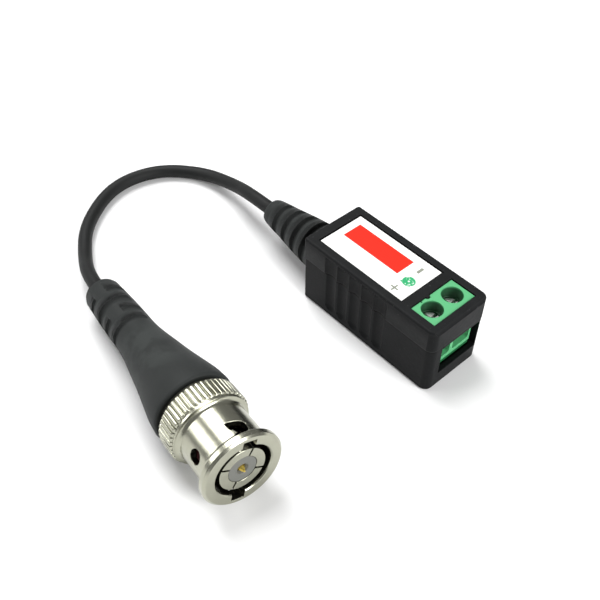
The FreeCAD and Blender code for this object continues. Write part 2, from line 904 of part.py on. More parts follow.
def retaining_ring():
    inner = neck_radius - ring_groove_depth + face_gap
    ring = tube_x(ring_rear, ring_front, neck_radius + running_gap + ring_catch, inner)
    gap = sector_ring(ring_rear - overreach, ring_front + overreach, inner / 2, 2 * neck_radius,
                      HALF_TURN, ring_gap_deg)
    return ring.cut(gap)


def crimp_sleeve():
    front = barrel_rear - face_gap
    inner = spigot_radius + face_gap
    return tube_x(front - crimp_length, front, inner + crimp_thickness, inner)


def cable_plug_end():
    """Stretch of the cable inside the plug boot, stripped to its conductor."""
    jacket_end_face = spigot_rear - face_gap
    return turned([
        (plug_boot_rear, 0),
        (plug_boot_rear, cable_radius),
        (jacket_end_face, cable_radius),
        (jacket_end_face, dielectric_radius),
        (pin_rear - pin_room, dielectric_radius),
        (pin_rear - pin_room, conductor_radius),
        (pin_rear, conductor_radius),
        (pin_rear, 0),
    ])


def coupling_sleeve():
    """Bayonet sleeve: flange, barrel with two lug notches, inner lip, knurled grip and tail."""
    flange_radius = sleeve_radius + flange_step
    flange_rear = sleeve_overhang - flange_length
    front_part = [
        (sleeve_overhang, flange_radius - flange_chamfer),
        (sleeve_overhang - flange_chamfer, flange_radius),
        (flange_rear, flange_radius),
    ]
    rear_part = [
        (shoulder_front - shoulder_length, shoulder_radius),
        (knurl_front, shoulder_radius),
        (knurl_front - knurl_front_bevel, knurl_radius),
        (knurl_rear + knurl_rear_bevel, knurl_radius),
        (knurl_rear, shoulder_radius),
        (sleeve_rear, shoulder_radius - tail_drop),
    ]
    flange_cove = cove(flange_rear - flange_fillet, sleeve_radius, flange_fillet, flange_step)
    shoulder_cove = cove(shoulder_front, sleeve_radius, -shoulder_length, shoulder_rise)
    outer = front_part + flange_cove[::-1] + shoulder_cove + rear_part
    inner = [
        (sleeve_rear, cavity_radius),
        (lip_rear, cavity_radius),
        (lip_rear, neck_radius + running_gap),
        (lip_front, neck_radius + running_gap),
        (lip_front, sleeve_bore_radius),
        (sleeve_overhang - bore_chamfer, sleeve_bore_radius),
        (sleeve_overhang, sleeve_bore_radius + bore_chamfer),
    ]
    sleeve = turned(outer + inner)
    sleeve = sleeve.cut(knurl_grooves())
    return sleeve.cut([lug_notch(0), lug_notch(HALF_TURN)])


def cove(x, radius, run, rise):
    """Points of a hollow curve that starts level at x and climbs ever more steeply."""
    points = []
    for step in range(cove_steps):
        angle = math.radians(HALF_TURN / 2 * step / cove_steps)
        points.append((x + run * math.sin(angle), radius + rise * (1 - math.cos(angle))))
    return points


def knurl_grooves():
    """V grooves along the grip, cut between the teeth."""
    half = math.pi * knurl_radius / knurl_teeth * knurl_groove_share
    front = knurl_front + face_gap
    grooves = []
    for tooth in range(knurl_teeth):
        points = [
            Vector(front, -half, knurl_radius + face_gap),
            Vector(front, half, knurl_radius + face_gap),
            Vector(front, 0, knurl_radius - knurl_depth),
        ]
        groove = Part.Face(Part.makePolygon(points + points[:1]))
        groove = groove.extrude(Vector(-knurl_length, 0, 0))
        groove.rotate(ORIGIN, X_AXIS, FULL_TURN * tooth / knurl_teeth)
        grooves.append(groove)
    return Part.makeCompound(grooves)


def lug_notch(turn):
    """Notch through the barrel's wall that takes in a lug of the socket."""
    half = lug_slot_width / 2
    notch = box(sleeve_overhang - lug_entry_depth, sleeve_overhang + overreach, -half, half,
                sleeve_bore_radius - lug_wall_room, sleeve_radius + face_gap)
    notch.rotate(ORIGIN, X_AXIS, lug_entry_deg + turn)
    return notch


def plug_boot():
    """Moulded boot: a smooth flare and a slotted flexible tail, hollow round what it holds."""
    front = plug_boot_front
    rear = plug_boot_rear
    boot = turned_boot(front, rear, plug_boot_outline, plug_boot_lip, plug_boot_tip_round)
    barrel = barrel_radius + moulded_gap
    crimp = spigot_radius + face_gap + crimp_thickness + moulded_gap
    crimp_rear = barrel_rear - face_gap - crimp_length
    hollow = turned([
        (front + overreach, 0),
        (front + overreach, barrel),
        (mould_front - moulded_gap, barrel),
        (mould_front - moulded_gap, barrel - mould_groove_depth),
        (mould_rear + moulded_gap, barrel - mould_groove_depth),
        (mould_rear + moulded_gap, barrel),
        (barrel_rear - moulded_gap, barrel),
        (barrel_rear - moulded_gap, crimp),
        (crimp_rear - moulded_gap, crimp),
        (crimp_rear - moulded_gap, cable_radius + moulded_gap),
        (rear - overreach, cable_radius + moulded_gap),
        (rear - overreach, 0),
    ])
    cutters = [hollow]
    for index in range(slot_count):
        middle = front - slot_first - index * slot_pitch
        turn = slot_bridge_turn + (0 if index % 2 else HALF_TURN / 2)
        for side in (HALF_TURN / 2, -HALF_TURN / 2):
            cutters.append(sector_ring(middle - slot_gap / 2, middle + slot_gap / 2,
                                       slot_core_radius, 2 * slot_core_radius + overreach,
                                       turn + side, HALF_TURN - slot_bridge_deg))
    return boot.cut(cutters)


def save(node, shape):
    """Check a sub-part and write it as a STEP file."""
    solids = shape.Solids
    if not solids or not all(solid.isValid() for solid in solids):
        raise ValueError(node + " is not a valid solid")
    result = solids[0] if len(solids) == 1 else Part.makeCompound(solids)
    result.exportStep("parts/" + node + ".step")
    print(f"{node:20s} solids {len(solids):2d} volume {result.Volume:9.2f}")


def main():
    os.makedirs("parts", exist_ok=True)
    save("housing_base", housing_base(housing_shell(half_width)))
    save("housing_cover", housing_cover(housing_shell(half_width + cover_overhang)))
    save("label", label())
    save("inspection_dot", inspection_dot())
    save("circuit_board", circuit_board())
    save("transformer_core", transformer_core())
    save("primary_winding", winding(90))
    save("secondary_winding", winding(270))
    save("terminal_block", terminal_block())
    for name, y in poles.items():
        save("terminal_screw_" + name, terminal_screw(y))
        save("clamp_cage_" + name, clamp_cage(y))
        save("terminal_pin_" + name, terminal_pin(y))
    save("housing_boot", housing_boot())
    save("cable_housing_end", cable_housing_end())
    save("signal_wire", signal_wire())
    save("shield_wire", shield_wire())
    save("cable", cable())

    place = plug_placement()
    plug_pieces = {
        "plug_body": plug_body,
        "plug_insulator": plug_insulator,
        "centre_pin": centre_pin,
        "front_gasket": front_gasket,
        "spring_washer": spring_washer,
        "thrust_washer": thrust_washer,
        "retaining_ring": retaining_ring,
        "crimp_sleeve": crimp_sleeve,
        "cable_plug_end": cable_plug_end,
        "coupling_sleeve": coupling_sleeve,
        "plug_boot": plug_boot,
    }
    for node, make in plug_pieces.items():
        piece = make()
        piece.Placement = place.multiply(piece.Placement)
        save(node, piece)


main()
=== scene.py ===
import json
import math

import bmesh
import bpy
from bpy.props import FloatProperty, FloatVectorProperty, IntProperty, PointerProperty
from mathutils import Matrix, Vector


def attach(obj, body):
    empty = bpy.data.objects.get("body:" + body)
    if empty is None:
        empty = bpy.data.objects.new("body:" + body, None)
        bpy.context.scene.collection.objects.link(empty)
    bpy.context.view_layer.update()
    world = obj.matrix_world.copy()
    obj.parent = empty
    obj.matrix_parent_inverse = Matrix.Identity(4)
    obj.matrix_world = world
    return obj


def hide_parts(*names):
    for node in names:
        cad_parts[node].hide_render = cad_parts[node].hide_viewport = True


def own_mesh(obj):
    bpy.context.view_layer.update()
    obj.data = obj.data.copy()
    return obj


bl_info = {
    "name": "Video balun",
    "version": (1, 0, 0),
    "blender": (4, 5, 0),
    "location": "View3D > Sidebar > Balun",
    "description": "Finishes a video balun: housing, terminals, boots, cable and bayonet plug",
    "category": "Add Mesh",
}

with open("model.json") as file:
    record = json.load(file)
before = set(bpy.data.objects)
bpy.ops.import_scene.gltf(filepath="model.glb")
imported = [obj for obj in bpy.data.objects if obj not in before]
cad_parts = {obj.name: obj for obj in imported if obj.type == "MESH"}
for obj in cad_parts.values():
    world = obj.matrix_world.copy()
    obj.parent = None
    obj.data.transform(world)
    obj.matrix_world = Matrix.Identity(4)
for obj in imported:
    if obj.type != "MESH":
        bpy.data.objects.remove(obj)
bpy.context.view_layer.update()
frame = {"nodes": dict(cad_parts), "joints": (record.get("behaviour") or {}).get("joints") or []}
MM = 0.001


def placed_joint(name):
    """A joint of the model, by name."""
    return next(joint for joint in frame["joints"] if joint["name"] == name)


TURN_POINT_DEPTH = 9.0  # from the contact's front back to the point that the sleeve turns about


def plug_matrix():
    """Where the plug lies: its own +X is its axis and its origin is the contact's front."""
    joint = placed_joint("sleeve_turn")
    along = Vector(joint["axis"]).normalized()
    side = Vector((0, 0, 1)).cross(along).normalized()
    up = along.cross(side)
    origin = Vector(joint["pos_m"]) + along * TURN_POINT_DEPTH * MM
    turn = Matrix((along, side, up)).transposed()
    return Matrix.Translation(origin) @ turn.to_4x4()


PLUG = plug_matrix()
BOOT = Matrix.Translation((-15.95 * MM, 0, 6.8 * MM))

# Places on the housing, in millimetres

SEAM_Z = 10.4
TOP_Z = 15.2
RECESS_X = (-14.4, 6.4)
RECESS_Y = (-5.5, 5.5)
PANEL_BOX = (-11.85, 1.62, -0.9, 3.4)
MINUS_BOX = (3.54, 4.14, 1.84, 3.38)
PLUS_X, PLUS_Y, PLUS_ARM = 3.65, -3.73, 0.83
STAMP_X, STAMP_Y = 4.33, -0.84
WELL_X, WELL_Y, WELL_RADIUS = 11.3, 2.54, 2.15
BLOCK_TOP_Z = 14.95

# Angles in degrees, round the plug's axis from up towards -Y

LUG_TURN = 163
HOLE_TURN = 64

# Where faces meet at more than these angles, an edge is rounded or stays sharp

ROUNDED_ABOVE = 32
SHARP_ABOVE = 28

# Sizes and colours that a user would change


def millimetres(name, description, default, low=0.0, high=100.0):
    return FloatProperty(name=name, description=description, default=default, min=low, max=high)


def colour(name, description, default):
    return FloatVectorProperty(
        name=name, description=description, default=default, size=3, subtype="COLOR", min=0, max=1
    )


class BALUN_PG_housing(bpy.types.PropertyGroup):
    edge: millimetres("Edge", "Rounding of the moulded edges, in millimetres", 0.07, 0, 0.4)
    grain: FloatProperty(
        name="Grain", description="Depth of the moulded texture", default=0.16, min=0, max=1
    )
    black: colour("Black", "Housing plastic", (0.0050, 0.0054, 0.0058))
    # this colour also paints the highlight on the cover's lip above the seam
    dust: colour("Dust", "Fine dust on the upper edges", (0.16, 0.165, 0.165))


class BALUN_PG_label(bpy.types.PropertyGroup):
    paper: colour("Paper", "Label face", (0.86, 0.86, 0.84))
    panel: colour("Panel", "Printed panel", (0.90, 0.024, 0.012))
    signs: colour("Signs", "Printed plus and minus", (0.15, 0.17, 0.12))
    stamp: colour("Stamp", "Round stamp", (0.004, 0.33, 0.115))
    stroke: millimetres("Stroke", "Thickness of the printed signs, in millimetres", 0.34, 0.1, 1)


class BALUN_PG_terminals(bpy.types.PropertyGroup):
    green: colour("Green", "Terminal block plastic", (0.085, 0.40, 0.165))
    edge: millimetres("Edge", "Rounding of the block's edges, in millimetres", 0.06, 0, 0.3)


class BALUN_PG_rubber(bpy.types.PropertyGroup):
    black: colour("Black", "Boots and cable jacket", (0.0215, 0.0235, 0.0230))
    edge: millimetres("Edge", "Rounding of the boots' grooves, in millimetres", 0.14, 0, 0.5)
    cable: FloatProperty(
        name="Cable", description="Diameter of the cable", default=2.8 * MM, min=0.001, max=0.01,
        unit="LENGTH", precision=4
    )


class BALUN_PG_metal(bpy.types.PropertyGroup):
    nickel: colour("Nickel", "Plated shell and contact", (0.41, 0.41, 0.33))
    gold: colour("Gold", "Contact pin", (1.0, 0.74, 0.16))
    teeth: IntProperty(
        name="Teeth", description="Teeth round the grip", default=48, min=12, max=96
    )
    groove: millimetres("Groove", "Depth of the grip's grooves, in millimetres", 0.4, 0, 0.6)
    edge: millimetres("Edge", "Rounding of turned edges, in millimetres", 0.06, 0, 0.3)


class BALUN_PG_stage(bpy.types.PropertyGroup):
    floor: colour("Floor", "Pale floor", (0.88, 0.88, 0.88))
    lens: FloatProperty(
        name="Lens", description="Focal length of the camera", default=48.646, min=10, max=200,
        unit="CAMERA"
    )


GROUPS = {
    "housing": BALUN_PG_housing,
    "label": BALUN_PG_label,
    "terminals": BALUN_PG_terminals,
    "rubber": BALUN_PG_rubber,
    "metal": BALUN_PG_metal,
    "stage": BALUN_PG_stage,
}


def settings(group):
    """The scene's own values of a group."""
    return getattr(bpy.context.scene, "balun_" + group)


# Shader arithmetic


class Socket:
    """The output of a shader node, which takes part in Python arithmetic."""

    def __init__(self, finish, output):
        self.finish = finish
        self.output = output

    def math(self, operation, first, second=None, clamp=False):
        inputs = {0: first}
        if second is not None:
            inputs[1] = second
        return self.finish.node(
            "ShaderNodeMath", {"operation": operation, "use_clamp": clamp}, inputs
        )

    def __add__(self, other):
        return self.math("ADD", self, other)

    def __radd__(self, other):
        return self.math("ADD", other, self)

    def __sub__(self, other):
        return self.math("SUBTRACT", self, other)

    def __rsub__(self, other):
        return self.math("SUBTRACT", other, self)

    def __mul__(self, other):
        return self.math("MULTIPLY", self, other)

    def __rmul__(self, other):
        return self.math("MULTIPLY", other, self)

    def __abs__(self):
        return self.math("ABSOLUTE", self)

    def __pow__(self, other):
        return self.math("POWER", self, other)

    def clamped(self):
        return self.math("ADD", self, 0.0, clamp=True)


class Finish:
    """A material, with the coordinates and blends that its surface needs."""

    def __init__(self, name):
        self.material = bpy.data.materials.new(name)
        self.material.use_nodes = True
        self.tree = self.material.node_tree
        self.shader = self.tree.nodes["Principled BSDF"]

    def node(self, kind, choices=None, inputs=None, result=0):
        """Add a node of a type, with its settings, its inputs and the output that is wanted."""
        made = self.tree.nodes.new(kind)
        for key, value in (choices or {}).items():
            setattr(made, key, value)
        for key, value in (inputs or {}).items():
            self.set_input(made.inputs[key], value)
        return Socket(self, made.outputs[result])

    def set_input(self, target, value):
        if isinstance(value, Socket):
            self.tree.links.new(value.output, target)
        elif hasattr(value, "__len__") and len(value) == 3 and target.type == "RGBA":
            target.default_value = (*value, 1.0)
        else:
            target.default_value = value

    def place(self, turn=None):
        """Position on the piece in metres, or in a turned frame whose matrix is given."""
        point = self.node("ShaderNodeTexCoord", result="Object")
        if turn is None:
            return point
        back = turn.inverted()
        return self.node(
            "ShaderNodeMapping",
            {"vector_type": "POINT"},
            {0: point, 1: back.to_translation(), 2: back.to_euler(), 3: (1, 1, 1)},
        )

    def axes(self, point):
        split = self.node("ShaderNodeSeparateXYZ", None, {0: point})
        outputs = split.output.node.outputs
        return [Socket(self, output) for output in outputs]

    def stretch(self, point, scale):
        return self.node("ShaderNodeVectorMath", {"operation": "MULTIPLY"}, {0: point, 1: scale})

    def noise(self, point, size, detail=3.0, rough=0.55):
        """Noise from 0 to 1 whose grains are about size metres across."""
        return self.node(
            "ShaderNodeTexNoise",
            None,
            {"Vector": point, "Scale": 1.0 / size, "Detail": detail, "Roughness": rough},
        )

    def ramp(self, value, low, high):
        """Rise from 0 to 1 between two values."""
        return self.node(
            "ShaderNodeMapRange",
            {"interpolation_type": "SMOOTHSTEP", "clamp": True},
            {0: value, 1: low, 2: high, 3: 0.0, 4: 1.0},
        )

    def band(self, value, low, high, soft):
        """1 between two values, with soft ends."""
        above_low = self.ramp(value, low - soft, low + soft)
        return above_low * (1 - self.ramp(value, high - soft, high + soft))

    def mix(self, share, first, second):
        """Blend two colours by a share."""
        return self.node(
            "ShaderNodeMix", {"data_type": "RGBA"}, {0: share, 6: first, 7: second}, result=2
        )

    def bump(self, height, depth, under=None):
        """Raise the surface by a height from 0 to 1 times a depth in metres."""
        inputs = {"Strength": 1.0, "Distance": depth, "Height": height}
        if under is not None:
            inputs["Normal"] = under
        return self.node("ShaderNodeBump", None, inputs)

    def surface(self, **values):
        """Set the shader's inputs by their names, with underscores for spaces."""
        for key, value in values.items():
            self.set_input(self.shader.inputs[key.replace("_", " ")], value)
        return self.material


# Mesh helpers


def new_piece(name, bm, material, body, smooth):
    """Turn a bmesh into a finished object that rides on a body, smooth below an angle."""
    mesh = bpy.data.meshes.new(name)
    bm.to_mesh(mesh)
    bm.free()
    mesh.shade_smooth()
    mesh.set_sharp_from_angle(angle=math.radians(smooth))
    piece = bpy.data.objects.new(name, mesh)
    bpy.context.scene.collection.objects.link(piece)
    mesh.materials.append(material)
    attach(piece, body)
    return piece


def round_edges(piece, width, segments=2, angle=None):
    """Round a piece's sharp edges by a width in millimetres, or those that carry a weight."""
    bevel = piece.modifiers.new("edges", "BEVEL")
    bevel.width = width * MM
    bevel.segments = segments
    bevel.limit_method = "WEIGHT" if angle is None else "ANGLE"
    bevel.angle_limit = math.radians(angle or 0)
    bevel.use_clamp_overlap = False
    bevel.miter_outer = "MITER_ARC"
    shading = piece.modifiers.new("shading", "WEIGHTED_NORMAL")
    shading.mode = "FACE_AREA"
    shading.weight = 100
    shading.keep_sharp = True
    return piece


def dressed(node, material, body, width=0.0, crisp_z=None):
    """Copy a solid of the model, merged and with rounded edges, to stand for it.

    Edges at one height, in millimetres, can stay crisp.
    """
    bm = bmesh.new()
    bm.from_mesh(frame["nodes"][node].data)
    bmesh.ops.remove_doubles(bm, verts=bm.verts, dist=2e-7)
    bmesh.ops.dissolve_limit(
        bm, angle_limit=math.radians(0.6), use_dissolve_boundaries=False,
        verts=bm.verts, edges=bm.edges, delimit=set()
    )
    weight = bm.edges.layers.float.new("bevel_weight_edge")
    for edge in bm.edges:
        turned = edge.calc_face_angle(0) > math.radians(ROUNDED_ABOVE)
        crisp = crisp_z is not None and all(
            abs(vert.co.z - crisp_z * MM) < 0.02 * MM for vert in edge.verts
        )
        edge[weight] = 1.0 if turned and not crisp else 0.0
    piece = new_piece(node + "_finished", bm, material, body, SHARP_ABOVE)
    if width > 0:
        round_edges(piece, width)
    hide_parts(node)
    return piece


def painted(node, material):
    """Give a solid of the model its finish, as it is."""
    piece = frame["nodes"][node]
    piece.data.materials.clear()
    piece.data.materials.append(material)
    return piece


def spun(outline, steps, start_deg=0.0):
    """Spin a closed outline of (x, radius) points, in millimetres, about X."""
    bm = bmesh.new()
    points = [bm.verts.new((x * MM, 0, r * MM)) for x, r in outline]
    edges = [bm.edges.new(pair) for pair in zip(points, points[1:] + points[:1])]
    turn = Matrix.Rotation(math.radians(start_deg), 3, "X")
    bmesh.ops.rotate(bm, verts=points, cent=(0, 0, 0), matrix=turn)
    bmesh.ops.spin(
        bm, geom=points + edges, cent=(0, 0, 0), axis=(1, 0, 0), angle=math.tau,
        steps=steps, use_merge=True, use_duplicate=False
    )
    bmesh.ops.remove_doubles(bm, verts=bm.verts, dist=1e-7)
    bmesh.ops.recalc_face_normals(bm, faces=bm.faces)
    return bm


def angle_of(point):
    """Angle about X in degrees, from up towards -Y."""
    return math.degrees(math.atan2(-point.y, point.z)) % 360


def away(first, second):
    """Difference of two angles, from 0 to 180."""
    return abs((first - second + 180) % 360 - 180)


def smooth_radius(outline, distance):
    """Radius at a distance on the smooth curve through an outline of (distance, radius) points."""
    last = len(outline) - 1

    def slope(index):
        (d0, r0), (d1, r1) = outline[max(index - 1, 0)], outline[min(index + 1, last)]
        return (r1 - r0) / (d1 - d0)

    index = max(i for i in range(last) if outline[i][0] <= distance or i == 0)
    (d0, r0), (d1, r1) = outline[index], outline[index + 1]
    run = d1 - d0
    t = (distance - d0) / run
    ends = r0 * (1 + 2 * t) * (1 - t) ** 2 + r1 * (3 - 2 * t) * t ** 2
    return ends + run * (slope(index) * t * (1 - t) ** 2 - slope(index + 1) * t ** 2 * (1 - t))


def boot_stations(outline, grooves, step):
    """Distances for the rings of a boot's mesh: even steps, with a ring at each groove's edge."""
    low, high = outline[0][0], outline[-1][0]
    edges = sorted(edge for groove in grooves for edge in groove if low < edge < high)
    even = [low + step * k for k in range(1, int((high - low) / step))]
    even = [d for d in even if all(abs(d - edge) > 0.45 * step for edge in edges)]
    inside = [d for d in even if not any(a < d < b for a, b in grooves)]
    return sorted([low, high] + edges + inside)


def faces_between(bm, x0, x1, radius):
    """Faces of a turned piece that lie between two places along X, outside a radius."""
    found = []
    for face in bm.faces:
        middle = face.calc_center_median() / MM
        if min(x0, x1) < middle.x < max(x0, x1) and math.hypot(middle.y, middle.z) > radius:
            found.append(face)
    return found


def prism(outline, inner, outer, turn_deg):
    """Solid between two radii over an outline of (x, across) points, turned about X."""
    bm = bmesh.new()
    points = [bm.verts.new((x * MM, -across * MM, inner * MM)) for x, across in outline]
    made = bmesh.ops.extrude_face_region(bm, geom=[bm.faces.new(points)])["geom"]
    top = [item for item in made if isinstance(item, bmesh.types.BMVert)]
    bmesh.ops.translate(bm, verts=top, vec=(0, 0, (outer - inner) * MM))
    turn = Matrix.Rotation(math.radians(turn_deg), 3, "X")
    bmesh.ops.rotate(bm, verts=bm.verts, cent=(0, 0, 0), matrix=turn)
    bmesh.ops.recalc_face_normals(bm, faces=bm.faces)
    return bm


def cut_out(bm, cutters):
    """Take closed cutters out of a closed mesh."""
    whole = scratch_object("whole", bm)
    for cutter in cutters:
        tool = scratch_object("tool", cutter)
        cut = whole.modifiers.new("cut", "BOOLEAN")
        cut.object = tool
        cut.solver = "EXACT"
        graph = bpy.context.evaluated_depsgraph_get()
        result = bpy.data.meshes.new_from_object(whole.evaluated_get(graph))
        whole.modifiers.remove(cut)
        whole.data = result
        bpy.data.objects.remove(tool)
    left = bmesh.new()
    left.from_mesh(whole.data)
    bpy.data.objects.remove(whole)
    bmesh.ops.remove_doubles(left, verts=left.verts, dist=2e-6)
    return left


def scratch_object(name, bm):
    """Put a mesh in the scene for a cut; the caller removes it."""
    mesh = bpy.data.meshes.new(name)
    bm.to_mesh(mesh)
    bm.free()
    item = bpy.data.objects.new(name, mesh)
    bpy.context.scene.collection.objects.link(item)
    return item


def sink(bm, faces, radius):
    """Push faces in to a radius about X, in millimetres, with walls round them."""
    made = bmesh.ops.extrude_face_region(bm, geom=faces)["geom"]
    for vert in (item for item in made if isinstance(item, bmesh.types.BMVert)):
        reach = math.hypot(vert.co.y, vert.co.z)
        vert.co.y *= radius * MM / reach
        vert.co.z *= radius * MM / reach
    return [item for item in made if isinstance(item, bmesh.types.BMFace)]


# Finishes


def housing_plastic():
    """Black grained plastic with fine dust on top, painted shade in the label's sunken bed, a
    painted shadow line where cover meets base, and a painted highlight on the cover's lip.
    """
    sizes = settings("housing")
    made = Finish("housing_plastic")
    point = made.place()
    x, y, z = made.axes(point)
    grain = made.noise(point, 0.16 * MM, 2.0)
    patches = made.noise(point, 5 * MM, 3.0)
    leather = made.noise(point, 0.9 * MM, 2.0)
    specks = made.ramp(made.noise(point, 0.42 * MM, 2.0, 0.7), 0.69, 0.76)
    upper = made.ramp(z, (TOP_Z - 2.7) * MM, (TOP_Z - 0.1) * MM)
    rim = made.ramp(z, (TOP_Z - 0.9) * MM, (TOP_Z - 0.02) * MM)
    # painted shade: the floor of the label's recess darkens almost to black
    recess_shade = made.band(x, RECESS_X[0] * MM, RECESS_X[1] * MM, 0.05 * MM)
    recess_shade = recess_shade * made.band(y, RECESS_Y[0] * MM, RECESS_Y[1] * MM, 0.05 * MM)
    recess_shade = recess_shade * made.band(z, (TOP_Z - 0.6) * MM, (TOP_Z - 0.06) * MM, 0.02 * MM)
    # painted shadow: a dark line along the seam, under the cover's lip
    seam_shadow = made.band(z, (SEAM_Z - 0.34) * MM, (SEAM_Z + 0.04) * MM, 0.03 * MM)
    # painted highlight: a lighter band in the dust colour along the cover's lip just above the
    # seam
    seam_lip_highlight = made.band(z, (SEAM_Z + 0.06) * MM, (SEAM_Z + 0.22) * MM, 0.05 * MM)
    # dust specks, thicker towards the top, and a little dust on the top rim; the painted highlight
    # above the seam joins them
    dust_and_highlight = specks * (0.10 + 0.30 * upper) + rim * (0.015 + 0.05 * patches)
    dust_and_highlight = dust_and_highlight * (1 - recess_shade) + seam_lip_highlight * 0.10
    shade = made.mix(patches * 0.5, sizes.black, tuple(1.6 * c for c in sizes.black))
    # the painted shade in the recess and the painted shadow at the seam darken the plastic almost
    # to black
    shade = made.mix((recess_shade + seam_shadow).clamped() * 0.9, shade, (0.0008, 0.0008, 0.0008))
    made.surface(
        Base_Color=made.mix(dust_and_highlight.clamped(), shade, sizes.dust),
        Roughness=0.40 + 0.12 * patches + 0.2 * dust_and_highlight,
        Specular_IOR_Level=0.07,
        Normal=made.bump(grain, sizes.grain * 0.05 * MM, made.bump(leather, 0.025 * MM)),
    )
    return made.material


def label_print():
    """White label with its red panel, the two signs and the tail of the stamp."""
    sizes = settings("label")
    made = Finish("label_print")
    point = made.place()
    x, y = made.axes(point)[:2]
    soft = 0.03 * MM
    half = sizes.stroke / 2

    def box(x0, x1, y0, y1):
        return made.band(x, x0 * MM, x1 * MM, soft) * made.band(y, y0 * MM, y1 * MM, soft)

    def plus_bar(along_x, along_y):
        return box(PLUS_X - along_x, PLUS_X + along_x, PLUS_Y - along_y, PLUS_Y + along_y)

    panel = box(*PANEL_BOX)
    plus = (plus_bar(PLUS_ARM, half) + plus_bar(half, PLUS_ARM)).clamped()
    minus = box(*MINUS_BOX)
    worn = made.noise(point, 0.35 * MM, 3.0)
    fibre = made.noise(point, 0.12 * MM, 2.0)
    signs = (plus + minus).clamped() * (0.75 + 0.25 * worn)
    face = made.mix(fibre * 0.12, sizes.paper, tuple(0.9 * c for c in sizes.paper))
    face = made.mix(signs, face, sizes.signs)
    from_x, from_y = x - STAMP_X * MM, y - STAMP_Y * MM
    along = from_x * -0.781 + from_y * -0.625
    aside = abs(from_x * 0.625 - from_y * 0.781)
    tail = made.ramp((1.72 * MM - along) * 0.55 - aside, 0, 0.1 * MM)
    tail = tail * made.ramp(along, 0.9 * MM, 1.0 * MM)
    face = made.mix(tail, face, sizes.stamp)
    made.surface(
        Base_Color=made.mix(panel, face, sizes.panel),
        Roughness=0.42 + 0.1 * fibre,
        Specular_IOR_Level=0.1,
        Normal=made.bump(fibre, 0.004 * MM),
    )
    return made.material


def stamp_ink():
    """Green ink with light patches, a light centre and a faded rim."""
    sizes = settings("label")
    made = Finish("stamp_ink")
    point = made.place()
    x, y = made.axes(point)[:2]
    reach = ((x - STAMP_X * MM) ** 2 + (y - STAMP_Y * MM) ** 2) ** 0.5
    patches = made.ramp(made.noise(point, 0.34 * MM, 1.0, 0.5), 0.60, 0.68)
    light = (patches + made.ramp(0.24 * MM - reach, 0, 0.08 * MM)).clamped()
    faded = made.mix(made.ramp(reach, 0.95 * MM, 1.25 * MM) * 0.2, sizes.stamp, (0.35, 0.75, 0.5))
    made.surface(
        Base_Color=made.mix(light * 0.85, faded, (0.75, 0.86, 0.78)),
        Roughness=0.5,
    )
    return made.material


def block_plastic():
    """Green plastic with painted shade down the two screw wells."""
    sizes = settings("terminals")
    made = Finish("block_plastic")
    point = made.place()
    x, y, z = made.axes(point)
    patches = made.noise(point, 2.5 * MM, 3.0)
    grain = made.noise(point, 0.12 * MM, 2.0)
    shade = made.mix(patches * 0.4, sizes.green, tuple(0.8 * c for c in sizes.green))
    from_well = ((x - WELL_X * MM) ** 2 + (abs(y) - WELL_Y * MM) ** 2) ** 0.5
    # painted shade: the plastic darkens down inside the screw wells
    well_shade = made.ramp(WELL_RADIUS * MM - from_well, 0, 0.12 * MM)
    well_shade = well_shade * made.ramp(BLOCK_TOP_Z * MM - z, 0.1 * MM, 0.5 * MM)
    made.surface(
        Base_Color=made.mix(well_shade * 0.85, shade, tuple(0.1 * c for c in sizes.green)),
        Roughness=0.36 + 0.12 * patches,
        Normal=made.bump(grain, 0.004 * MM),
    )
    return made.material


def soft_black(name, turn=None, hollows=None, share=1.0, gloss=0.12):
    """Soft moulded PVC with a faint bloom and fine scratches, with painted shade that turns its
    hollows black.

    Hollows are below an outer radius that falls along -X, given as its value at x = 0, its
    slope and the place where the hollows begin. The share darkens the rubber's own black.
    """
    sizes = settings("rubber")
    made = Finish(name)
    point = made.place(turn)
    patches = made.noise(point, 4 * MM, 4.0)
    grain = made.noise(point, 0.09 * MM, 2.0)
    streaks = made.noise(made.stretch(point, (0.25, 1.0, 1.0)), 0.5 * MM, 4.0, 0.7)
    marks = made.ramp(streaks, 0.62, 0.72) * 0.5
    black = tuple(share * c for c in sizes.black)
    shade = made.mix(patches * 0.7, black, tuple(1.7 * c for c in black))
    shade = made.mix(marks * 0.18 * share, shade, (0.10, 0.105, 0.105))
    hollow_shade = 0.0
    if hollows is not None:
        radius, slope, begin = hollows
        x, y, z = made.axes(point)
        # lighter in patches along a band 21 to 33 mm back along -X, over the plug boot's flare
        lighter_band = made.band(x, -33 * MM, -21 * MM, 2 * MM)
        lighter_band = lighter_band * made.ramp(patches, 0.42, 0.62)
        shade = made.mix(lighter_band * 0.16, shade, (0.085, 0.095, 0.09))
        # painted shade: the grooves and slots darken to black with depth below the outer radius
        depth = radius * MM + slope * x - (y * y + z * z) ** 0.5
        hollow_shade = made.ramp(depth, 0, 0.45 * MM) * made.ramp(begin * MM - x, 0, 0.1 * MM)
        shade = made.mix((hollow_shade * 0.96).clamped(), shade, (0.0004, 0.0004, 0.0004))
    made.surface(
        Base_Color=shade,
        Roughness=0.44 + 0.14 * patches + 0.1 * marks + 0.12 * grain + 0.4 * hollow_shade,
        Specular_IOR_Level=gloss,
        Normal=made.bump(grain, 0.012 * MM, made.bump(patches, 0.04 * MM)),
    )
    return made.material


